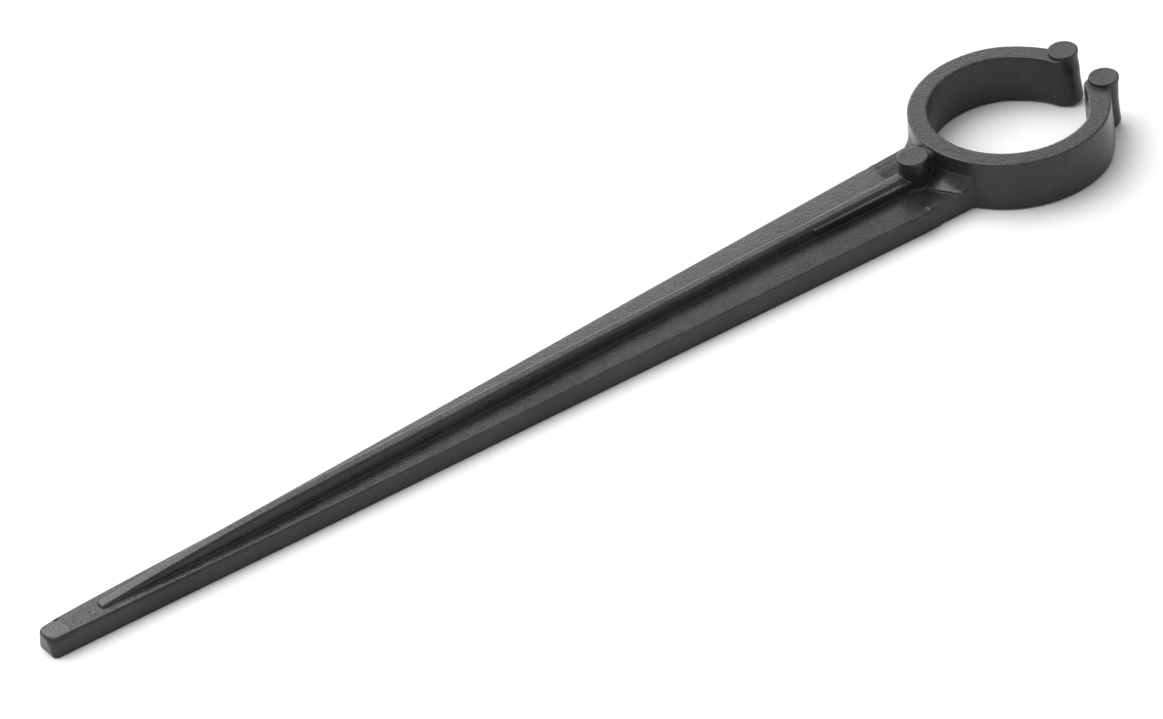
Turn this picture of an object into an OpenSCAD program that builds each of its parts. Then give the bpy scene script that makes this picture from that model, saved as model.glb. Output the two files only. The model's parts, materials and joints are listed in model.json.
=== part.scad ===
// Plastic spudger: a long tapered shaft with a middle rib and a blunt tip, and an open snap ring at its other end.
// The shaft lies along X with its tip at -X, the ring and its mouth are at +X, and the part lies flat on Z = 0.
// The origin is the centre of the part's footprint. Left is the +Y side, right is the -Y side.
// Distances called "reach" are measured from the ring's axis.

/* [Open ring] */
// Outer diameter of the ring
ring_od = 20.2; // [19.5:0.1:21]
// Diameter of the round hole, which clips onto a round body
ring_bore = 16.1; // [15:0.1:16.5]
// Height of the ring's wall
ring_h = 5.35; // [4.5:0.05:7]
// Chamfer of the ring's outer bottom edge
ring_chamfer = 0.3; // [0.1:0.05:0.5]
// Chamfer of the ring's outer top edge
ring_top_chamfer = 0.1; // [0.05:0.05:0.3]

/* [Lugs at the mouth] */
// Distance of each lug's centre from the ring's axis
lug_reach = 9.65; // [9.5:0.05:9.9]
// Half of the angle between the two lugs, seen from the ring's axis
lug_angle = 19.15; // [17:0.05:26]
// Diameter of a lug
lug_d = 3; // [2.4:0.05:3]
// Diameter of a lug's flared foot
lug_foot_d = 3.1; // [3:0.05:3.1]
// Height of the flared foot
lug_foot_h = 0.6; // [0.3:0.1:1.5]
// Diameter of the pad on top of each lug
lug_pad_d = 3; // [2:0.05:3]
// Height of the pad above the ring's top
lug_pad_h = 0.4; // [0.2:0.05:0.8]

/* [Flexing arms] */
// Angle from the shaft's centre line to the point about which each arm flexes
flex_angle = 40; // [36:1:60]
// Radius of the round knuckle at the root of each arm
knuckle_r = 0.7; // [0.5:0.05:0.75]
// Gap between the knuckle and its seat
knuckle_gap = 0.05; // [0.03:0.01:0.1]
// Free space beside the knuckle, so that the arm can swing
swing_gap = 0.3; // [0.25:0.05:0.5]

/* [Shaft] */
// Reach of the very end of the tip
tip_reach = 111.2; // [90:0.1:140]
// Reach of the end of the rib, where the solid tip starts
tip_start = 105.3; // [96:0.1:106]
// Reach of the shoulder, where the sides start to taper
shoulder_reach = 20.4; // [18:0.1:25]
// Width of the shaft at the shoulder
shoulder_w = 9.36; // [8:0.05:10]
// Width of the shaft where the solid tip starts
tip_w = 2.74; // [2.4:0.02:5]
// Thickness of the flange at the shoulder
flange_t = 2.3; // [2.2:0.01:2.6]
// Thickness of the flange at its thinnest
flange_thin_t = 1.93; // [1.6:0.01:2.1]
// Reach of the place where the flange is thinnest
flange_thin_reach = 94; // [80:1:96]
// Thickness of the solid tip
tip_t = 2.12; // [1.9:0.02:2.3]

/* [Rib] */
// Thickness of the rib at its top
rib_w = 1.04; // [0.8:0.02:1.4]
// Thickness of the rib at its foot
rib_foot_w = 1.44; // [1.2:0.02:1.8]
// Height of the rib's top at the stud
rib_h = 3.52; // [3.3:0.02:4]
// Height of the rib's top where it starts to drop towards the tip
rib_mid_h = 3.45; // [3.1:0.05:3.6]
// Reach of the place where the rib starts to drop
rib_drop_reach = 84; // [60:1:90]
// Height of the rib's blunt end
rib_end_h = 2.5; // [2.4:0.05:3.2]
// Height of the ledges beside the rib
ledge_h = 3.25; // [2.8:0.05:3.3]
// Width across the rib and both ledges
ledge_w = 2.1; // [1.8:0.05:2.4]
// Reach of the blunt ends of the ledges
ledge_reach = 24; // [22:0.5:40]

/* [Tip] */
// Radius of the two corners of the tip, seen from above
tip_corner_r = 0.65; // [0.4:0.05:1]
// Chamfer along the tip's top edges
tip_chamfer = 0.3; // [0.1:0.05:0.5]
// How far the tip's end face leans back at the top
tip_lean = 0.15; // [0:0.05:1]

/* [Neck] */
// Reach of the end of the flange, where the pockets start
pocket_reach = 13.8; // [13:0.1:16]
// Width of the neck
neck_w = 9.7; // [9:0.05:10]
// Depth of the pockets below the flange's top
pocket_depth = 0.2; // [0.15:0.05:1]
// Thickness of the pockets' side walls
wall_t = 0.7; // [0.3:0.05:0.8]
// Width of the low spine between the pockets
spine_w = 2.5; // [2.3:0.05:3]
// Radius of the hollow fillet between neck and ring
shelf_r = 1.2; // [0.8:0.05:1.4]

/* [Stud] */
// Reach of the stud's axis
stud_reach = 11.95; // [11.8:0.05:12.2]
// Diameter of the stud
stud_d = 3.05; // [2.6:0.05:3.2]
// Height of the stud's top
stud_h = 5.25; // [4:0.05:5.35]
// Thickness of the web from the stud to the ring
web_w = 1.7; // [1:0.05:2]
// Height of the web
web_h = 5; // [4:0.05:5.2]

/* [Hidden] */
$fn = 96;
EPS = 0.01;
BIG = 60;
ring_r = ring_od / 2;
bore_r = ring_bore / 2;
mid_r = (ring_r + bore_r) / 2;
lug_x = lug_reach * cos(lug_angle);
lug_y = lug_reach * sin(lug_angle);
// The mouth end of the part is the outermost point of the lugs' feet
mouth_reach = lug_x + lug_foot_d / 2;
ring_x = (tip_reach - mouth_reach) / 2;
// Angles round the ring, from the mouth's centre line
flex_at = 180 - flex_angle;
swing_angle = swing_gap / mid_r * 180 / PI;
floor_t = flange_t - pocket_depth;
spine_disc_r = stud_d / 2 + 0.08;

// The flange's top at a given reach on its long falling stretch
function flange_top(reach) =
    flange_t + (flange_thin_t - flange_t) * (reach - shoulder_reach) / (flange_thin_reach - shoulder_reach);

// Half of the shaft's width at a given reach beyond the shoulder
function half_w(reach) =
    (shoulder_w + (tip_w - shoulder_w) * (reach - shoulder_reach) / (tip_start - shoulder_reach)) / 2;

// Everything is drawn about the ring's axis and then moved to the part's own origin
module place() {
    translate([ring_x, 0, 0]) children();
}

// The right-hand twin of a left-hand shape
module right_hand() {
    mirror([0, 1, 0]) children();
}

// A side view given as [reach, height] points, made w wide about the centre line
module side_view(points, w) {
    rotate([90, 0, 0])
        linear_extrude(height = w, center = true)
            polygon([for (p = points) [-p[0], p[1]]]);
}

// A plan view given as [reach, half width] points along the left edge, mirrored to the right edge
module plan_view(points, h) {
    linear_extrude(height = h)
        polygon(concat(
            [for (p = points) [-p[0], p[1]]],
            [for (i = [len(points) - 1 : -1 : 0]) [-points[i][0], -points[i][1]]]
        ));
}

// Section of the ring's wall, from the radius r0 out to the chamfered outer face
module wall_section(r0) {
    polygon([
        [r0, 0], [ring_r - ring_chamfer, 0], [ring_r, ring_chamfer],
        [ring_r, ring_h - ring_top_chamfer], [ring_r - ring_top_chamfer, ring_h], [r0, ring_h]
    ]);
}

// Wall of the ring from angle a0 to angle a1, counted from the mouth
module ring_wall(a0, a1) {
    rotate([0, 0, a0])
        rotate_extrude(angle = a1 - a0)
            wall_section(bore_r);
}

// The space that the whole ring fills, hole and all
module ring_disc() {
    rotate_extrude() wall_section(0);
}

module at_knuckle() {
    translate([mid_r * cos(flex_at), mid_r * sin(flex_at), 0]) children();
}

module lug_shape() {
    translate([lug_x, lug_y, 0])
        rotate_extrude()
            polygon([
                [0, 0], [lug_foot_d / 2, 0], [lug_d / 2, lug_foot_h], [lug_d / 2, ring_h], [0, ring_h]
            ]);
}

module arm_shape() {
    difference() {
        union() {
            ring_wall(lug_angle, flex_at);
            at_knuckle() cylinder(r = knuckle_r, h = ring_h);
        }
        lug_shape();
    }
}

module pad_shape() {
    translate([lug_x, lug_y, ring_h]) cylinder(d = lug_pad_d, h = lug_pad_h);
}

// A slab of the neck from y0 to y1 and from z0 to z1, reaching from the pockets' end to the ring
module neck_slab(y0, y1, z0, z1) {
    difference() {
        translate([-pocket_reach, y0, z0]) cube([pocket_reach, y1 - y0, z1 - z0]);
        ring_disc();
    }
}

module neck_wall_shape() {
    neck_slab(neck_w / 2 - wall_t, neck_w / 2, floor_t, flange_t);
}

// The hollow fillet that rises from a pocket and its wall to the ring
module shelf_shape() {
    inner_y = web_w / 2;
    intersection() {
        rotate([0, 0, 90])
            rotate_extrude(angle = 90)
                difference() {
                    translate([ring_r, floor_t]) square([shelf_r, pocket_depth + shelf_r]);
                    translate([ring_r + shelf_r, flange_t + shelf_r]) circle(r = shelf_r);
                }
        difference() {
            translate([-BIG, inner_y, 0]) cube([BIG, neck_w / 2 - inner_y, BIG]);
            neck_wall_shape();
            spine_shape();
            translate([-stud_reach, 0, 0]) cylinder(d = stud_d, h = stud_h);
        }
    }
}

// The low spine between the pockets, widened into a disc under the stud
module spine_shape() {
    difference() {
        translate([0, 0, floor_t])
            union() {
                translate([-pocket_reach, -spine_w / 2, 0]) cube([pocket_reach, spine_w, pocket_depth]);
                translate([-stud_reach, 0, 0]) cylinder(r = spine_disc_r, h = pocket_depth);
            }
        ring_disc();
    }
}

// The rib's section, which leans in on both sides from its foot to its top, all along the shaft
module rib_wedge() {
    translate([-stud_reach, 0, 0])
        rotate([90, 0, -90])
            linear_extrude(height = tip_start)
                polygon([
                    [-rib_foot_w / 2, flange_thin_t], [rib_foot_w / 2, flange_thin_t],
                    [rib_w / 2, rib_h], [-rib_w / 2, rib_h]
                ]);
}

module rib_shape() {
    difference() {
        intersection() {
            side_view([
                [stud_reach, flange_t], [shoulder_reach, flange_t], [flange_thin_reach, flange_thin_t],
                [tip_start, tip_t], [tip_start, rib_end_h], [rib_drop_reach, rib_mid_h],
                [shoulder_reach, rib_h], [stud_reach, rib_h]
            ], BIG);
            rib_wedge();
        }
        translate([-stud_reach, 0, 0]) cylinder(d = stud_d, h = stud_h);
    }
}

module ledge_shape() {
    difference() {
        intersection() {
            side_view([
                [stud_reach, flange_t], [shoulder_reach, flange_t], [ledge_reach, flange_top(ledge_reach)],
                [ledge_reach, ledge_h], [stud_reach, ledge_h]
            ], ledge_w);
            translate([-BIG, 0, 0]) cube([BIG, BIG, BIG]);
        }
        rib_wedge();
        translate([-stud_reach, 0, 0]) cylinder(d = stud_d, h = stud_h);
    }
}

module shaft_flange() {
    color("#2f2d30") place()
        intersection() {
            plan_view([
                [pocket_reach, shoulder_w / 2], [shoulder_reach, shoulder_w / 2], [tip_start, tip_w / 2]
            ], BIG);
            side_view([
                [pocket_reach, 0], [tip_start, 0], [tip_start, tip_t], [flange_thin_reach, flange_thin_t],
                [shoulder_reach, flange_t], [pocket_reach, flange_t]
            ], BIG);
        }
}

module spine_rib() {
    color("#333134") place() rib_shape();
}

module rib_ledge_left() {
    color("#363437") place() ledge_shape();
}

module rib_ledge_right() {
    color("#363437") place() right_hand() ledge_shape();
}

// The tip keeps the shaft's taper, and has round corners, chamfered top edges and an end face that leans back
module pry_tip() {
    end_w = half_w(tip_reach) * 2;
    arc = [for (a = [0 : 15 : 90])
        [tip_reach - tip_corner_r * (1 - sin(a)), end_w / 2 - tip_corner_r * (1 - cos(a))]];
    color("#2c2a2d") place()
        intersection() {
            plan_view(concat([[tip_start, tip_w / 2]], arc), BIG);
            side_view([
                [tip_start, 0], [tip_reach, 0], [tip_reach - tip_lean, tip_t - tip_chamfer],
                [tip_reach - tip_lean - tip_chamfer, tip_t], [tip_start, tip_t]
            ], BIG);
            rotate([0, -90, 0])
                linear_extrude(height = tip_reach)
                    polygon([
                        [0, -tip_w / 2], [tip_t - tip_chamfer, -tip_w / 2], [tip_t, tip_chamfer - tip_w / 2],
                        [tip_t, tip_w / 2 - tip_chamfer], [tip_t - tip_chamfer, tip_w / 2], [0, tip_w / 2]
                    ]);
        }
}

module neck_floor() {
    color("#282629") place() neck_slab(-neck_w / 2, neck_w / 2, 0, floor_t);
}

module neck_spine() {
    color("#343235") place() spine_shape();
}

module neck_wall_left() {
    color("#39373a") place() neck_wall_shape();
}

module neck_wall_right() {
    color("#39373a") place() right_hand() neck_wall_shape();
}

module neck_shelf_left() {
    color("#3f3d40") place() shelf_shape();
}

module neck_shelf_right() {
    color("#3f3d40") place() right_hand() shelf_shape();
}

module stop_stud() {
    color("#3a383b") place()
        translate([-stud_reach, 0, flange_t]) cylinder(d = stud_d, h = stud_h - flange_t);
}

module stud_web() {
    color("#302e31") place()
        difference() {
            translate([-stud_reach, -web_w / 2, flange_t]) cube([stud_reach, web_w, web_h - flange_t]);
            ring_disc();
            translate([-stud_reach, 0, 0]) cylinder(d = stud_d, h = stud_h);
        }
}

// The fixed back of the ring, with a seat cut at each end for the arms' knuckles
module ring_root() {
    color("#353336") place()
        difference() {
            ring_wall(flex_at + swing_angle, 360 - flex_at - swing_angle);
            for (side = [0, 1]) mirror([0, side, 0])
                at_knuckle() translate([0, 0, -EPS]) cylinder(r = knuckle_r + knuckle_gap, h = ring_h + 2 * EPS);
        }
}

module ring_arm_left() {
    color("#353336") place() arm_shape();
}

module ring_lug_left() {
    color("#2b292c") place() lug_shape();
}

module lug_pad_left() {
    color("#3b393c") place() pad_shape();
}

module ring_arm_right() {
    color("#353336") place() right_hand() arm_shape();
}

module ring_lug_right() {
    color("#2b292c") place() right_hand() lug_shape();
}

module lug_pad_right() {
    color("#3b393c") place() right_hand() pad_shape();
}

shaft_flange();
spine_rib();
rib_ledge_left();
rib_ledge_right();
pry_tip();
neck_floor();
neck_spine();
neck_wall_left();
neck_wall_right();
neck_shelf_left();
neck_shelf_right();
stop_stud();
stud_web();
ring_root();
ring_arm_left();
ring_lug_left();
lug_pad_left();
ring_arm_right();
ring_lug_right();
lug_pad_right();
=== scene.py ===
"""Looks of the spudger: one black plastic moulding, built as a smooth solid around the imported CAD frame.

The whole tool is described by one signed distance field, with its fillets and rounded edges in it. The
field becomes a mesh on a grid, and planes cut that mesh into closed pieces that stand for the CAD nodes.

Lengths are in millimetres, in the CAD source's working coordinates: reach (distance from the ring's axis
towards the tip), side (left is positive) and z.
"""

import json
import math

import bmesh
import bpy
import numpy as np
from mathutils import Matrix, Vector


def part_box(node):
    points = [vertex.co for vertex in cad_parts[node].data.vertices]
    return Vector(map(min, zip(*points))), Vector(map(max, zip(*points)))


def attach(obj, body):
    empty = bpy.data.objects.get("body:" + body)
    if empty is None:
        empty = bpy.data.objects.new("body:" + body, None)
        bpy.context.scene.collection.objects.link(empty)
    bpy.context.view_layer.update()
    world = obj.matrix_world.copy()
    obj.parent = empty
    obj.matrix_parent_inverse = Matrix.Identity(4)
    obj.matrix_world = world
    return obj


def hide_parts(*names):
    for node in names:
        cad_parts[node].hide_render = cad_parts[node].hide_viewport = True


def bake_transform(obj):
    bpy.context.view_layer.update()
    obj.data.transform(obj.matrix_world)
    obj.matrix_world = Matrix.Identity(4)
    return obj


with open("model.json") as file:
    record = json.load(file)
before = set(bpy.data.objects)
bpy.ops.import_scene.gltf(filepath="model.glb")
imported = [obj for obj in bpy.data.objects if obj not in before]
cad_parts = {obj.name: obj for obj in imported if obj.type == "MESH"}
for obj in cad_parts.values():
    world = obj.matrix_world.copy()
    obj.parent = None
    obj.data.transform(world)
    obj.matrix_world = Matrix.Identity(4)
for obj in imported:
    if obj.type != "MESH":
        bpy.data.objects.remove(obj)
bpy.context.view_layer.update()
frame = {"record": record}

MM = 0.001

# ------------------------------------------------------------------ sizes that the frame gives

mounts = {mount["name"]: mount for mount in frame["record"]["mounts"]}
AXIS_X = mounts["ring_clamp"]["pos_m"][0]
BORE_R = mounts["ring_clamp"]["dims"]["r_mm"]


def cad(node):
    """A CAD node's box in the working coordinates: its lowest and its highest (reach, side, z)."""
    low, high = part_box(node)
    return (
        np.array((AXIS_X - high.x, low.y, low.z)) / MM,
        np.array((AXIS_X - low.x, high.y, high.z)) / MM,
    )


flange_low, flange_high = cad("shaft_flange")
tip_low, tip_high = cad("pry_tip")
ledge_high = cad("rib_ledge_left")[1]
floor_high = cad("neck_floor")[1]
disc_high = cad("neck_spine")[1]
stud_low, stud_high = cad("stop_stud")
web_high = cad("stud_web")[1]
shelf_high = cad("neck_shelf_left")[1]
lug_low, lug_high = cad("ring_lug_left")
pad_low, pad_high = cad("lug_pad_left")

POCKET_REACH = flange_low[0]
TIP_START = tip_low[0]
TIP_END = tip_high[0]
SHAFT_HALF = flange_high[1]
TIP_HALF = tip_high[1]
FLANGE_TOP = flange_high[2]
RIB_TOP = cad("spine_rib")[1][2]
LEDGE_REACH = ledge_high[0]
LEDGE_TOP = ledge_high[2]
NECK_HALF = floor_high[1]
FLOOR_TOP = floor_high[2]
WALL_INNER = cad("neck_wall_left")[0][1]
DISC_R = disc_high[1]
STUD_R = stud_high[1]
STUD_REACH = (stud_low[0] + stud_high[0]) / 2
STUD_TOP = stud_high[2]
WEB_HALF = web_high[1]
WEB_TOP = web_high[2]
SHELF_R = shelf_high[2] - FLANGE_TOP
RING_R = cad("ring_arm_left")[1][1]
RING_TOP = cad("ring_root")[1][2]
LUG_REACH = (pad_low[0] + pad_high[0]) / 2
LUG_SIDE = (pad_low[1] + pad_high[1]) / 2
PAD_R = (pad_high[1] - pad_low[1]) / 2
PAD_TOP = pad_high[2]
FOOT_R = (lug_high[1] - lug_low[1]) / 2
LUG_ANGLE = math.atan2(LUG_SIDE, -LUG_REACH)
LUG_R = math.hypot(LUG_SIDE, LUG_REACH)

# ------------------------------------------------------------------ shape that only the looks have

# Radii of rounded edges and filled corners, from the sharpest to the softest
KEEN = 0.03
FINE = 0.04
SHARP = 0.05
CREASE = 0.06
CRISP = 0.08
EASED = 0.13
SOFT = 0.3

# How far solids reach into each other where they join
OVERLAP = 1
# Beyond this reach there is only the shaft
HEAD_LIMIT = 17

# The bar: it widens up to BAR_END_REACH, and it is END_HALF wide to each side at the very end of its tip
SHOULDER_REACH = 20.4
BAR_END_REACH = 15
END_HALF = 1.14
# Its top thins along the shaft and thickens again at the tip
FLANGE_TOP_REACH = (SHOULDER_REACH, 40, 60, 80, 90, 102, 109, TIP_END)
FLANGE_TOP_Z = (FLANGE_TOP, 2.27, 2.12, 2.03, 1.99, 2.10, 2.12, 2.0)
# Its sides stand out by this much more at the bottom than at the top
SIDE_LEAN = 0.13
# Its left half is wider than its right half, and grows wider still between two reaches near the tip
LEFT_EXTRA = 0.12
LEFT_TIP_EXTRA = 0.2
LEFT_WIDENS = (90, 108)
# Its top is lower along its edges than in the middle by CROWN, and by TIP_CROWN where the edges are soft
CROWN = 0.1
TIP_CROWN = 0.03
# Between these reaches its top edges grow softer by that much, and then again at its very end
EDGES_SOFTEN = (70, 104)
EDGES_EXTRA = 0.17
END_SOFTENS = (107.5, 110.8)
END_EXTRA = 0.2
# The left side is crisper: this share of those gains, and of a corner's radius, is missing there
LEFT_EDGE_CRISPER = 0.7
LEFT_CORNER_CRISPER = 0.35
# The radii of the tip's two corners, seen from above: at a low height and at a high one
CORNER_Z = (0.3, 2.1)
CORNER_R = (0.55, 1.3)

# The rib: half its top's thickness, the lean of its sides, and the line of its top
RIB_HALF = 0.52
RIB_LEAN = 0.16
RIB_DROP_REACH = 84
RIB_DROP_TOP = 3.45
RIB_END_TOP = 2.38
RIB_DROP_CURVE = 1.6
RIB_END_R = 0.25
# The ledges beside it: half their width at the pockets and at their ends, and how far they run past the
# ends of the CAD's ledges
LEDGE_HALF = (1.06, 0.86)
LEDGE_EXTRA = 0.55

# The neck: half its spine's width, how much wider it is at the ring and narrower at the bar, and how much
# further its left side stands out
SPINE_HALF = 1.25
NECK_FLARE = 0.1
NECK_LEFT_EXTRA = 0.15
# The shelves: their depth at the neck's side, how much it grows per millimetre inwards, and how far their
# ends and undersides stay inside the neck
SHELF_DEPTH = 0.9
SHELF_GROWTH = 0.3
SHELF_INSET = 0.1
# 1 makes the shelves' faces straight, and 2 makes them round hollows
SHELF_BOW = 1.3
# The spur: the reaches of its wide end and its point, its width, how far below the flange's top it lies,
# how that slopes, and its underside
SPUR_REACH = (14.1, 16.4)
SPUR_WIDTH = 0.5
SPUR_DROP = 0.22
SPUR_SLOPE = 0.15
SPUR_BOTTOM = 1.5
# The stud's edge, and the corner where the web meets the stud
STUD_EDGE_R = 0.1

# The arms: up to the first angle from the mouth they lie further inwards, by BOW_OUTSIDE outside and by
# more than that inside on the right. Beyond the second angle they follow the CAD's ring
BOW_ANGLES = (math.radians(38), math.radians(66))
BOW_OUTSIDE = 0.2
BOW_LEFT = 0.2
BOW_RIGHT = 0.5
# The ring's outside leans in towards its top, from this share of its height
RING_TOP_LEAN = 0.1
LEAN_START = 0.4
# The arms run on past the middle of their lugs by this angle, and end round
NOSE_ANGLE = math.radians(5)
NOSE_R = 0.9
# The beads: their inset under the pads, their waist, the height of their upper part, and their flare
# towards the gap below that part and at the foot, which has a curve of its own
BEAD_INSET = 0.06
BEAD_WAIST = 0.13
BEAD_NECK_HEIGHT = 1.8
BEAD_FLARE = 0.27
FOOT_FLARE = 0.3
FOOT_CURVE = 1.5
# The groove between a bead and the arm: its radius inside the ring and outside it, and where that is
GROOVE_R = (0.5, CRISP)
GROOVE_SPAN = (LUG_R - 0.4, LUG_R + 0.3)
# The pads: their edge's radius, and the faint dip in their top, whose floor ends at the first radius and
# whose rim is at the second
PAD_EDGE_R = 0.07
DIP_R = (0.9, 1.15)
DIP_DEPTH = 0.012

# The nicks in the tip's edges: reach, side, z and radius
NICKS = ((109.1, 1.2, 2.25, 0.3), (106.2, -0.1, 2.3, 0.22))
# The rounding of the bottom edge, at reaches from the lugs to the shaft
BOTTOM_REACH = (LUG_REACH, LUG_REACH + 4, RING_R - 1, RING_R + 2)
BOTTOM_R = (0.85, 0.28, 0.28, 0.12)

# ------------------------------------------------------------------ signed distances


def ramp(x, start, end):
    """0 before start, 1 after end, and a smooth rise between them."""
    t = np.clip((x - start) / (end - start), 0, 1)
    return t * t * (3 - 2 * t)


def both(a, b, r):
    """What lies in a and in b, with its outer edge rounded to the radius r."""
    return np.minimum(-r, np.maximum(a, b)) + np.hypot(np.maximum(r + a, 0), np.maximum(r + b, 0))


def either(a, b, r):
    """What lies in a or in b, with its inner corner filled to the radius r."""
    return np.maximum(r, np.minimum(a, b)) - np.hypot(np.maximum(r - a, 0), np.maximum(r - b, 0))


def half_width(reach):
    """Half the bar's width: it grows at one rate from the tip to the neck."""
    growth = (SHAFT_HALF - TIP_HALF) / (TIP_START - SHOULDER_REACH)
    neck_end = SHAFT_HALF + growth * (SHOULDER_REACH - BAR_END_REACH)
    return np.interp(reach, (BAR_END_REACH, TIP_START, TIP_END), (neck_end, TIP_HALF, END_HALF))


def lean(z):
    """How much wider the bar and the neck are to each side at a height z than at their top."""
    return SIDE_LEAN * np.clip(1 - z / FLANGE_TOP, 0, 1)


def flange(reach, side, z):
    """The long flat bar, which tapers to the solid tip. Its left side is the crisper one."""
    across = np.abs(side)
    left = ramp(side, -0.5, 0.5)
    softened = ramp(reach, *EDGES_SOFTEN)
    half = half_width(reach) + lean(z)
    half = half + left * (LEFT_EXTRA + LEFT_TIP_EXTRA * ramp(reach, *LEFT_WIDENS))
    top = np.interp(reach, FLANGE_TOP_REACH, FLANGE_TOP_Z)
    top = top - (CROWN - (CROWN - TIP_CROWN) * softened) * (across / half) ** 2
    corner = np.interp(z, CORNER_Z, CORNER_R) * (1 - LEFT_CORNER_CRISPER * left)
    outline = both(across - half, reach - TIP_END, corner)
    softer = EDGES_EXTRA * softened + END_EXTRA * ramp(reach, *END_SOFTENS)
    edge = EASED + softer * (1 - LEFT_EDGE_CRISPER * left)
    return np.maximum(both(outline, z - top, edge), POCKET_REACH - OVERLAP - reach)


def rib_top(reach):
    """The rib's top edge: level at first, and curving down over its last stretch."""
    level = np.interp(reach, (SHOULDER_REACH, RIB_DROP_REACH), (RIB_TOP, RIB_DROP_TOP))
    fall = np.clip((reach - RIB_DROP_REACH) / (TIP_START - RIB_DROP_REACH), 0, 1)
    return level - (RIB_DROP_TOP - RIB_END_TOP) * fall**RIB_DROP_CURVE


def ridge(reach, side, z):
    """The rib along the shaft's middle, and the ledges beside it near the stud."""
    across = np.abs(side)
    crest = rib_top(reach)
    sides = (across - RIB_HALF - RIB_LEAN * (crest - z)) * math.cos(math.atan(RIB_LEAN))
    # The rib's left edge is the crisper one
    rib = both(both(sides, z - crest, np.where(side < 0, SOFT, EASED)), reach - TIP_START, RIB_END_R)
    ledge_half = np.interp(reach, (POCKET_REACH, LEDGE_REACH), LEDGE_HALF)
    ledge = both(across - ledge_half, z - LEDGE_TOP, CRISP)
    ledge = both(ledge, reach - LEDGE_REACH - LEDGE_EXTRA, CRISP)
    return np.maximum(either(rib, ledge, CREASE), STUD_REACH - reach)


def root_limit(reach, radius):
    """Keeps the neck's shapes between the middle of the ring's wall and the shaft."""
    return np.maximum(BORE_R + OVERLAP - radius, BORE_R / 2 - reach)


def neck_block(reach, side, z, radius):
    """The neck, which widens a little towards the ring."""
    widths = (NECK_HALF + NECK_FLARE, NECK_HALF - NECK_FLARE)
    half = np.interp(reach, (BORE_R, POCKET_REACH), widths)
    half = half + lean(z) + np.where(side > 0, NECK_LEFT_EXTRA, 0)
    block = both(np.abs(side) - half, z - FLANGE_TOP, SHARP)
    return np.maximum(np.maximum(block, reach - POCKET_REACH), root_limit(reach, radius))


def pocket(reach, side, z, stud_distance):
    """The space of the two pockets. The left one's floor rises gently to its wall's top."""
    across = np.abs(side)
    floor = FLOOR_TOP + (FLANGE_TOP - FLOOR_TOP) * ramp(side, SPINE_HALF, WALL_INNER)
    plan = both(both(SPINE_HALF - across, across - WALL_INNER, SOFT), reach - POCKET_REACH, SOFT)
    return both(both(plan, DISC_R - stud_distance, SHARP), floor - z, CREASE)


def shelf(reach, side, z, radius):
    """The hollow fillets that rise from the pockets to the ring's wall, wider towards the stud."""
    across = np.abs(side)
    depth = SHELF_DEPTH + SHELF_GROWTH * np.maximum(NECK_HALF - across, 0)
    lip = RING_R + depth
    shelf_top = FLANGE_TOP + SHELF_R
    outwards = np.clip((lip - radius) / depth, 0, 2)
    upwards = np.clip((shelf_top - z) / SHELF_R, 0, 2)
    hollow = SHELF_R * (1 - (outwards**SHELF_BOW + upwards**SHELF_BOW) ** (1 / SHELF_BOW))
    section = both(both(radius - lip, hollow, KEEN), z - shelf_top, KEEN)
    ends = both(across - NECK_HALF + SHELF_INSET, FLOOR_TOP - SHELF_INSET - z, SHARP)
    return np.maximum(np.maximum(section, ends), root_limit(reach, radius))


def spur(reach, side, z):
    """A small flash of plastic on the right side, where the bar ends at the neck."""
    end, start = SPUR_REACH
    beyond = -side - NECK_HALF
    width = SPUR_WIDTH * np.clip((start - reach) / (start - end), 0, 1)
    top = FLANGE_TOP - SPUR_DROP - SPUR_SLOPE * np.maximum(beyond, 0)
    outline = both(beyond - width, z - top, KEEN)
    block = both(outline, np.maximum(end - reach, SPUR_BOTTOM - z), KEEN)
    return np.maximum(np.maximum(block, reach - start), NECK_HALF - OVERLAP / 2 + side)


def stud_and_web(reach, side, z, radius, stud_distance):
    """The round stud, and the web that joins it to the ring."""
    stud = both(stud_distance - STUD_R, z - STUD_TOP, STUD_EDGE_R)
    web = both(np.abs(side) - WEB_HALF, z - WEB_TOP, SOFT)
    web = np.maximum(np.maximum(web, reach - STUD_REACH), root_limit(reach, radius))
    return either(stud, web, STUD_EDGE_R)


def bead(reach, side, z):
    """The round bead of a lug, which has a waist and flares towards the mouth's gap on its way down."""
    down = np.clip(1 - z / RING_TOP, 0, 1)
    beyond = np.abs(side) - LUG_SIDE
    most = BEAD_FLARE * (1 - ramp(z, RING_TOP - BEAD_NECK_HEIGHT, RING_TOP))
    most = most + FOOT_FLARE * down**FOOT_CURVE
    flare = np.minimum(np.maximum(-beyond, 0), most)
    waist = BEAD_WAIST * np.sin(math.pi * down)
    bead_r = PAD_R - BEAD_INSET - waist + (FOOT_R - PAD_R) * down**2
    return np.hypot(reach - LUG_REACH, beyond + flare) - bead_r


def ring(reach, side, z, radius):
    """The open ring: it thins towards its top, and its arms bow inwards and run into their lugs."""
    from_mouth = np.abs(np.arctan2(side, -reach))
    bow = 1 - ramp(from_mouth, *BOW_ANGLES)
    outer = RING_R - RING_TOP_LEAN * ramp(z, LEAN_START * RING_TOP, RING_TOP) - BOW_OUTSIDE * bow
    inner = BORE_R - np.where(side < 0, BOW_RIGHT, BOW_LEFT) * bow
    wall = np.maximum(radius - outer, inner - radius)
    wall = both(wall, -radius * np.sin(from_mouth - LUG_ANGLE + NOSE_ANGLE), NOSE_R)
    groove = np.interp(radius, GROOVE_SPAN, GROOVE_R)
    return both(either(wall, bead(reach, side, z), groove), z - RING_TOP, EASED)


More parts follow.
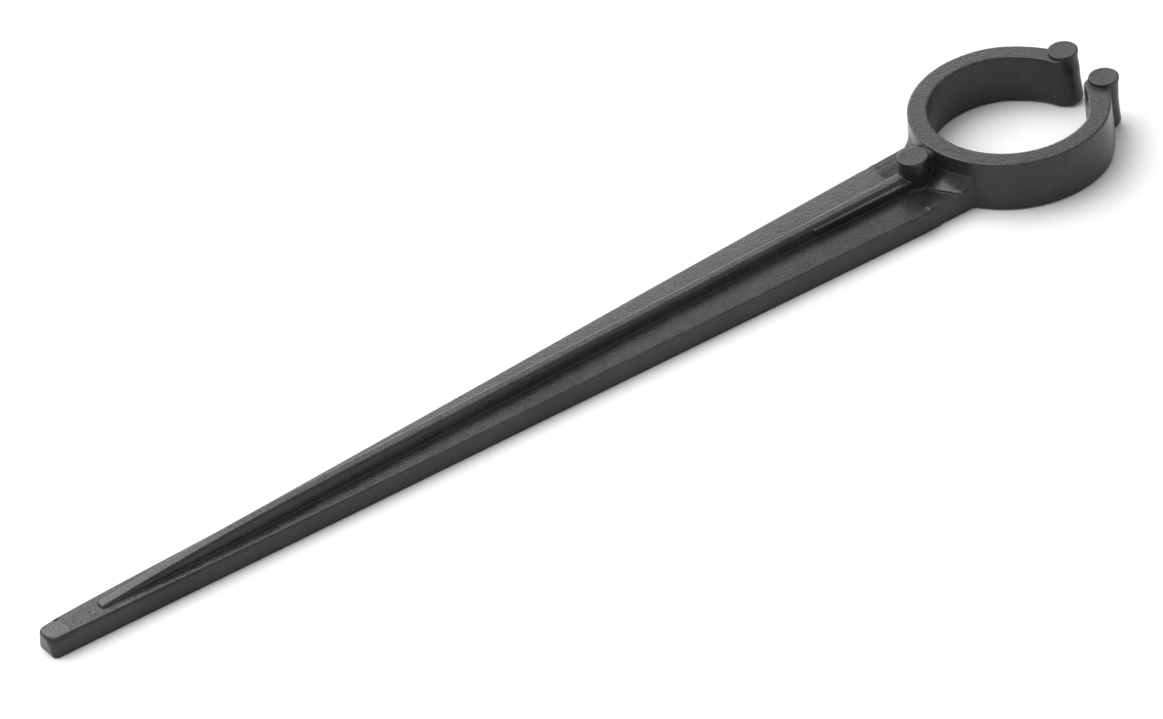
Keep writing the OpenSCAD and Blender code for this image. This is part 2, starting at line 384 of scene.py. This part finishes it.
def pad(reach, side, z):
    """The flat disc on a lug, with a faint round dip in its top."""
    radius = np.hypot(reach - LUG_REACH, np.abs(side) - LUG_SIDE)
    top = PAD_TOP - DIP_DEPTH * (1 - ramp(radius, *DIP_R))
    return both(both(radius - PAD_R, z - top, PAD_EDGE_R), RING_TOP + KEEN - z, KEEN)


def head(reach, side, z, bar):
    """Everything at the ring's end, with the bar that runs into it."""
    radius = np.hypot(reach, side)
    stud_distance = np.hypot(reach - STUD_REACH, side)
    body = np.minimum(bar, neck_block(reach, side, z, radius))
    body = both(body, -pocket(reach, side, z, stud_distance), SHARP)
    body = np.minimum(body, spur(reach, side, z))
    body = either(body, ridge(reach, side, z), CREASE)
    body = either(body, shelf(reach, side, z, radius), FINE)
    body = either(body, ring(reach, side, z, radius), SOFT)
    body = either(body, stud_and_web(reach, side, z, radius, stud_distance), CREASE)
    return np.minimum(body, pad(reach, side, z))


def nicks(reach, side, z):
    """Small dents that use has left in the tip: each is twice as long along the shaft as it is wide."""
    distance = np.full(reach.shape, np.inf)
    for at_reach, at_side, at_z, r in NICKS:
        spot = np.hypot(np.hypot((reach - at_reach) / 2, side - at_side), z - at_z) - r
        distance = np.minimum(distance, spot)
    return distance


def moulding(reach, side, z):
    """The signed distance of the whole tool at arrays of points, which broadcast against each other."""
    reach, side, z = np.broadcast_arrays(reach, side, z)
    bar = flange(reach, side, z)
    distance = either(bar, ridge(reach, side, z), CREASE)
    near = reach < HEAD_LIMIT
    distance[near] = head(reach[near], side[near], z[near], bar[near])
    tip_end = reach > TIP_START - 2
    dents = nicks(reach[tip_end], side[tip_end], z[tip_end])
    distance[tip_end] = both(distance[tip_end], -dents, SHARP)
    return both(distance, -z, np.interp(reach, BOTTOM_REACH, BOTTOM_R))


# ------------------------------------------------------------------ from the field to a mesh

GRID_MARGIN = 0.31
DIRECTIONS = np.eye(3)
# A point's bend is measured over this distance, and this bend counts as a full edge
WEAR_WIDTH = 0.06
FULL_BEND = 10


def spaced(*stretches):
    """Grid lines over stretches given as (start, end, step)."""
    lines = [np.linspace(a, b, max(2, round((b - a) / step) + 1))[:-1] for a, b, step in stretches]
    return np.concatenate([*lines, [stretches[-1][1]]])


def sample(axes):
    """The field on the grid, worked out in slabs to save memory."""
    slabs = []
    for start in range(0, len(axes[0]), 32):
        slab = axes[0][start : start + 32]
        slabs.append(moulding(slab[:, None, None], axes[1][None, :, None], axes[2][None, None, :]))
    return np.concatenate(slabs)


def surface_net(field, axes):
    """Points in the cells that the surface crosses, and a quad round each grid edge that it crosses."""
    inside = field < 0
    cell_shape = [n - 1 for n in field.shape]
    count = np.zeros(cell_shape, np.int8)
    steps = [(i, j, k) for i in (0, 1) for j in (0, 1) for k in (0, 1)]
    for i, j, k in steps:
        count += inside[i : i + cell_shape[0], j : j + cell_shape[1], k : k + cell_shape[2]]
    cells = np.argwhere((count > 0) & (count < 8))
    number = np.full(cell_shape, -1, np.int64)
    number[tuple(cells.T)] = np.arange(len(cells))

    total = np.zeros((len(cells), 3))
    crossings = np.zeros(len(cells))
    for axis in range(3):
        for step in (s for s in steps if s[axis] == 0):
            first = cells + step
            second = first + DIRECTIONS[axis].astype(int)
            f0, f1 = field[tuple(first.T)], field[tuple(second.T)]
            crossed = (f0 < 0) != (f1 < 0)
            t = np.where(crossed, f0 / np.where(crossed, f0 - f1, 1), 0)[:, None]
            p0 = np.stack([axes[n][first[:, n]] for n in range(3)], 1)
            p1 = np.stack([axes[n][second[:, n]] for n in range(3)], 1)
            total += crossed[:, None] * (p0 + t * (p1 - p0))
            crossings += crossed
    points = total / crossings[:, None]

    quads = []
    for axis in range(3):
        low = [slice(None)] * 3
        high = [slice(None)] * 3
        low[axis], high[axis] = slice(None, -1), slice(1, None)
        edges = np.argwhere(inside[tuple(low)] != inside[tuple(high)])
        b, c = DIRECTIONS[(axis + 1) % 3].astype(int), DIRECTIONS[(axis + 2) % 3].astype(int)
        ring_of_cells = [edges - b - c, edges - c, edges, edges - b]
        quad = np.stack([number[tuple(cell.T)] for cell in ring_of_cells], 1)
        leaves = inside[tuple(edges.T)]
        quads.append(np.where(leaves[:, None], quad[:, ::-1], quad))
    return points, np.concatenate(quads)


def gradient(points, probe=0.02):
    """The field's gradient, and its bend: positive on outer edges and negative in inner corners."""
    slopes = []
    bend = -6 * moulding(*points.T)
    for direction in DIRECTIONS:
        ahead = moulding(*(points + probe * direction).T)
        behind = moulding(*(points - probe * direction).T)
        slopes.append((ahead - behind) / (2 * probe))
        bend += ahead + behind
    return np.stack(slopes, 1), bend / probe**2


# The longest step that a point takes towards the surface
LONGEST_STEP = 0.08


def settle(points, rounds=3):
    """Moves the points along the gradient until they lie on the surface."""
    for _ in range(rounds):
        slope, _ = gradient(points)
        length = np.maximum((slope**2).sum(1), 0.1)
        shift = slope * (moulding(*points.T) / length)[:, None]
        size = np.maximum(np.linalg.norm(shift, axis=1, keepdims=True), 1e-9)
        points = points - shift * np.minimum(1, LONGEST_STEP / size)
    return points


def relax(points, quads, share=0.5):
    """Draws each point towards the middle of its neighbours, which evens the quads out."""
    total = np.zeros_like(points)
    count = np.zeros(len(points))
    for a, b in ((0, 1), (1, 2), (2, 3), (3, 0)):
        for start, end in ((a, b), (b, a)):
            np.add.at(total, quads[:, start], points[quads[:, end]])
            np.add.at(count, quads[:, start], 1)
    return points + share * (total / count[:, None] - points)


# The grid is fine at the lugs, the neck and the tip, and coarse along the shaft
RING_STEP = 0.12
FINE_STEP = 0.075
LEDGE_STEP = 0.2
LEDGE_END_STEP = 0.1
SHAFT_STEP = 0.45
HEIGHT_STEP = 0.075

far_end = LUG_REACH - FOOT_R - GRID_MARGIN
shaft_side = SHAFT_HALF + GRID_MARGIN
ring_side = RING_R + GRID_MARGIN
grid = (
    spaced(
        (far_end, LUG_REACH + 2.5, FINE_STEP),
        (LUG_REACH + 2.5, STUD_REACH - 3, RING_STEP),
        (STUD_REACH - 3, POCKET_REACH + 1, FINE_STEP),
        (POCKET_REACH + 1, LEDGE_REACH - 1, LEDGE_STEP),
        (LEDGE_REACH - 1, LEDGE_REACH + 1, LEDGE_END_STEP),
        (LEDGE_REACH + 1, TIP_START - 1, SHAFT_STEP),
        (TIP_START - 1, TIP_END + GRID_MARGIN, FINE_STEP),
    ),
    spaced(
        (-ring_side, -shaft_side, RING_STEP),
        (-shaft_side, shaft_side, FINE_STEP),
        (shaft_side, ring_side, RING_STEP),
    ),
    spaced((-GRID_MARGIN, PAD_TOP + GRID_MARGIN, HEIGHT_STEP)),
)

points, quads = surface_net(sample(grid), grid)
points = settle(points)
for _ in range(3):
    points = settle(relax(points, quads), rounds=2)

# ------------------------------------------------------------------ pieces


def to_row(points):
    """Working coordinates to the row frame, in metres."""
    return np.stack([AXIS_X - points[:, 0] * MM, points[:, 1] * MM, points[:, 2] * MM], 1)


def cut(bm, point, normal):
    """Removes what lies ahead of the plane, and closes the cut with flat faces."""
    everything = [*bm.verts, *bm.edges, *bm.faces]
    cut_geometry = bmesh.ops.bisect_plane(
        bm, geom=everything, dist=1e-9, plane_co=point, plane_no=normal, clear_outer=True
    )["geom_cut"]
    rim = [item for item in cut_geometry if isinstance(item, bmesh.types.BMEdge)]
    caps = bmesh.ops.holes_fill(bm, edges=rim, sides=0)["faces"]
    for face in caps:
        face.smooth = False
    for edge in rim:
        edge.smooth = False


def piece(name, region, planes, nodes):
    """The part of the moulding behind the planes, as an object. region marks the points it may have."""
    chosen = quads[region[quads].any(1)]
    used = np.unique(chosen)
    renumber = np.zeros(len(points), np.int64)
    renumber[used] = np.arange(len(used))
    mesh = bpy.data.meshes.new(name)
    mesh.from_pydata(to_row(points[used]), [], renumber[chosen][:, ::-1])
    mesh.polygons.foreach_set("use_smooth", np.ones(len(chosen), bool))
    bm = bmesh.new()
    bm.from_mesh(mesh)
    for point, normal in planes:
        cut(bm, point, normal)
    bm.to_mesh(mesh)
    bm.free()

    ends = np.empty(len(mesh.vertices) * 3)
    mesh.vertices.foreach_get("co", ends)
    ends = ends.reshape(-1, 3) / MM
    reach = AXIS_X / MM - ends[:, 0]
    _, bend = gradient(np.stack([reach, ends[:, 1], ends[:, 2]], 1), WEAR_WIDTH)
    edge = mesh.attributes.new("edge", "FLOAT", "POINT")
    edge.data.foreach_set("value", np.clip(bend / FULL_BEND, -1, 1).astype(np.float32))
    dull = mesh.attributes.new("dull", "FLOAT", "POINT")
    near_lugs = 1 - ramp(reach, LUG_REACH + PAD_R, LUG_REACH + 2 * PAD_R)
    dull.data.foreach_set("value", near_lugs.astype(np.float32))

    ob = bpy.data.objects.new(name, mesh)
    bpy.context.scene.collection.objects.link(ob)
    ob.data.materials.append(black_plastic)
    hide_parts(*nodes)
    return ob


# ------------------------------------------------------------------ material

# Linear colours: of dark blotches and of the painted shade in inner corners, of the plain plastic, and of
# worn edges with a painted highlight
DARK_TONE_AND_SHADE = (0.0125, 0.0102, 0.0124, 1)
PLAIN = (0.0272, 0.025, 0.0293, 1)
EDGE_WEAR_AND_HIGHLIGHT = (0.07, 0.066, 0.071, 1)
SPECULAR = 0.38
# The lugs are rougher than the rest by this much
LUG_DULLNESS = 0.2


def moulded_plastic(name):
    """Black moulded plastic: fine grain, faint colour variation, paler and smoother edges (wear, with a
    painted highlight), painted shade in inner corners, dull lugs.
    """
    material = bpy.data.materials.new(name)
    material.use_nodes = True
    tree = material.node_tree
    shader = tree.nodes["Principled BSDF"]

    def node(kind, **values):
        """A new node, with its properties and inputs set."""
        made = tree.nodes.new(kind)
        for key, value in values.items():
            if hasattr(made, key):
                setattr(made, key, value)
            else:
                made.inputs[key.replace("_", " ").title()].default_value = value
        return made

    def noise(period_mm, detail):
        """A pattern that goes from 0 to 1, fixed to the object."""
        made = node("ShaderNodeTexNoise", scale=1 / (period_mm * MM), detail=detail)
        tree.links.new(where.outputs["Object"], made.inputs["Vector"])
        return made.outputs["Fac"]

    def mapped(source, low, high, to_low, to_high):
        """The source, stretched from low..high to to_low..to_high."""
        made = tree.nodes.new("ShaderNodeMapRange")
        sockets = ("From Min", "From Max", "To Min", "To Max")
        for socket, value in zip(sockets, (low, high, to_low, to_high)):
            made.inputs[socket].default_value = value
        tree.links.new(source, made.inputs["Value"])
        return made.outputs["Result"]

    def maths(operation, a, b):
        """The result of an operation on two numbers or outputs."""
        made = node("ShaderNodeMath", operation=operation)
        for socket, value in zip(made.inputs, (a, b)):
            if isinstance(value, (int, float)):
                socket.default_value = value
            else:
                tree.links.new(value, socket)
        return made.outputs["Value"]

    where = tree.nodes.new("ShaderNodeTexCoord")
    edge = node("ShaderNodeAttribute", attribute_name="edge").outputs["Fac"]
    blotches = noise(period_mm=6, detail=3)
    mottle = noise(period_mm=0.9, detail=4)
    grain = noise(period_mm=0.22, detail=3)
    # Paler edges: wear, with a painted highlight along them
    wear_and_highlight = maths("MULTIPLY", mapped(edge, 0.35, 1, 0, 1), mapped(mottle, 0.35, 0.65, 0.35, 1))

    shade = maths("ADD", mapped(blotches, 0.3, 0.7, 0, 0.3), mapped(mottle, 0.3, 0.7, 0, 0.2))
    shade = maths("ADD", shade, maths("MULTIPLY", wear_and_highlight, 0.5))
    # Painted shade: inner corners are darker
    shade = maths("ADD", shade, mapped(edge, -0.6, -0.1, -0.5, 0))
    colour = tree.nodes.new("ShaderNodeValToRGB")
    colour.color_ramp.elements[0].color = DARK_TONE_AND_SHADE
    colour.color_ramp.elements[1].position = 0.5
    colour.color_ramp.elements[1].color = PLAIN
    colour.color_ramp.elements.new(1).color = EDGE_WEAR_AND_HIGHLIGHT
    tree.links.new(shade, colour.inputs["Fac"])
    tree.links.new(colour.outputs["Color"], shader.inputs["Base Color"])

    dull = node("ShaderNodeAttribute", attribute_name="dull").outputs["Fac"]
    dull = maths("MULTIPLY", dull, LUG_DULLNESS)
    rough = maths("ADD", mapped(mottle, 0.3, 0.7, 0.17, 0.26), maths("MULTIPLY", wear_and_highlight, -0.04))
    rough = maths("ADD", rough, dull)
    tree.links.new(rough, shader.inputs["Roughness"])

    shader.inputs["Specular IOR Level"].default_value = SPECULAR

    fine = node("ShaderNodeBump", strength=0.5)
    fine.inputs["Distance"].default_value = 0.05 * MM
    tree.links.new(grain, fine.inputs["Height"])
    wavy = node("ShaderNodeBump", strength=0.5)
    wavy.inputs["Distance"].default_value = 0.03 * MM
    tree.links.new(mottle, wavy.inputs["Height"])
    tree.links.new(fine.outputs["Normal"], wavy.inputs["Normal"])
    tree.links.new(wavy.outputs["Normal"], shader.inputs["Normal"])
    return material


black_plastic = moulded_plastic("black_plastic")

# ------------------------------------------------------------------ pieces, and the body that the handle's pieces ride on

TIP_CUT = TIP_START + 0.7
NECK_CUT = 16
SEAM_ANGLE = math.radians(32)


def reach_plane(reach, towards_tip):
    """A plane across the shaft. It removes the tip's side, or the ring's side if towards_tip is -1."""
    return (AXIS_X - reach * MM, 0, 0), (-towards_tip, 0, 0)


def seam_plane(hand, outwards):
    """The plane at an arm's root. hand is 1 for left. outwards is 1 to remove the arm, -1 to keep it."""
    across = Vector((math.sin(SEAM_ANGLE), hand * math.cos(SEAM_ANGLE), 0))
    return (AXIS_X, 0, 0), across * outwards


reaches = points[:, 0]
sides = points[:, 1]
from_root = np.abs(np.arctan2(sides, reaches))

tip = piece("tip", reaches > TIP_CUT - 1, [reach_plane(TIP_CUT, -1)], ["pry_tip"])
shaft = piece(
    "shaft",
    (reaches > NECK_CUT - 1) & (reaches < TIP_CUT + 1),
    [reach_plane(TIP_CUT, 1), reach_plane(NECK_CUT, -1)],
    ["shaft_flange", "spine_rib", "rib_ledge_left", "rib_ledge_right"],
)
neck = piece(
    "neck",
    (reaches < NECK_CUT + 1) & (from_root < SEAM_ANGLE + 0.1),
    [reach_plane(NECK_CUT, 1), seam_plane(1, 1), seam_plane(-1, 1)],
    [
        "neck_floor",
        "neck_spine",
        "neck_wall_left",
        "neck_wall_right",
        "neck_shelf_left",
        "neck_shelf_right",
        "stop_stud",
        "stud_web",
        "ring_root",
    ],
)
for ob in (tip, shaft, neck):
    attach(ob, "handle")

# Each arm is a piece of its own, beyond the seam at its root
for hand, word in ((1, "left"), (-1, "right")):
    body = f"arm_{word}"
    arm = piece(
        body,
        (hand * sides > 0.5) & (from_root > SEAM_ANGLE - 0.1),
        [seam_plane(hand, -1)],
        [f"ring_arm_{word}", f"ring_lug_{word}", f"lug_pad_{word}"],
    )
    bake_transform(arm)

# ------------------------------------------------------------------ camera, floor and light

# The camera looks at its target along CAMERA_AZIMUTH, and downwards by CAMERA_DROP
CAMERA_TARGET = Vector((-0.2, 1.95, 0)) * MM
CAMERA_DISTANCE = 603.6 * MM
CAMERA_AZIMUTH = math.radians(59.6)
CAMERA_DROP = math.radians(37.06)
CAMERA_ROLL = math.radians(-8.07)
CAMERA_LENS = 198.1


def make_camera():
    """The camera, at the viewing angle of the main picture."""
    camera = bpy.data.objects.new("camera", bpy.data.cameras.new("camera"))
    bpy.context.scene.collection.objects.link(camera)
    forward = Vector(
        (
            math.cos(CAMERA_AZIMUTH) * math.cos(CAMERA_DROP),
            math.sin(CAMERA_AZIMUTH) * math.cos(CAMERA_DROP),
            -math.sin(CAMERA_DROP),
        )
    )
    level = forward.cross(Vector((0, 0, 1))).normalized()
    right = level * math.cos(CAMERA_ROLL) + level.cross(forward) * math.sin(CAMERA_ROLL)
    up = right.cross(forward)
    turn = Matrix((right, up, -forward)).transposed().to_4x4()
    camera.matrix_world = Matrix.Translation(CAMERA_TARGET - forward * CAMERA_DISTANCE) @ turn
    camera.data.lens = CAMERA_LENS
    camera.data.clip_start = 0.01
    camera.data.clip_end = 10
    bpy.context.scene.camera = camera


FLOOR_HALF_WIDTH = 3
FLOOR_GREY = 0.72
SKY_STRENGTH = 0.68


def make_floor():
    """A wide pale floor, just under the tool."""
    bm = bmesh.new()
    bmesh.ops.create_grid(bm, x_segments=8, y_segments=8, size=FLOOR_HALF_WIDTH)
    mesh = bpy.data.meshes.new("floor")
    bm.to_mesh(mesh)
    bm.free()
    floor = bpy.data.objects.new("floor", mesh)
    floor.location.z = -0.01 * MM
    bpy.context.scene.collection.objects.link(floor)
    paper = bpy.data.materials.new("floor_paper")
    paper.use_nodes = True
    shader = paper.node_tree.nodes["Principled BSDF"]
    shader.inputs["Base Color"].default_value = (FLOOR_GREY, FLOOR_GREY, FLOOR_GREY, 1)
    shader.inputs["Roughness"].default_value = 0.9
    mesh.materials.append(paper)


def softbox(name, position, size, power):
    """A square area light that faces the tool: position and size in metres, power in watts."""
    light = bpy.data.lights.new(name, "AREA")
    light.shape = "SQUARE"
    light.size = size
    light.energy = power
    ob = bpy.data.objects.new(name, light)
    ob.location = position
    ob.rotation_euler = (-Vector(position)).to_track_quat("-Z", "Y").to_euler()
    bpy.context.scene.collection.objects.link(ob)


def make_sky():
    """Even white light from all sides."""
    world = bpy.data.worlds.new("studio")
    bpy.context.scene.world = world
    world.use_nodes = True
    sky = world.node_tree.nodes["Background"]
    sky.inputs["Color"].default_value = (1, 1, 1, 1)
    sky.inputs["Strength"].default_value = SKY_STRENGTH


make_camera()
make_floor()
make_sky()
softbox("key_softbox", (-0.13, 0.42, 0.8), 0.9, 11.2)
softbox("back_softbox", (0.76, 1.72, 0.62), 1, 8.5)
softbox("far_panel", (0.8, 1.6, 1.3), 1.6, 2)
bpy.context.scene.view_settings.view_transform = "Standard"

bpy.context.view_layer.update()
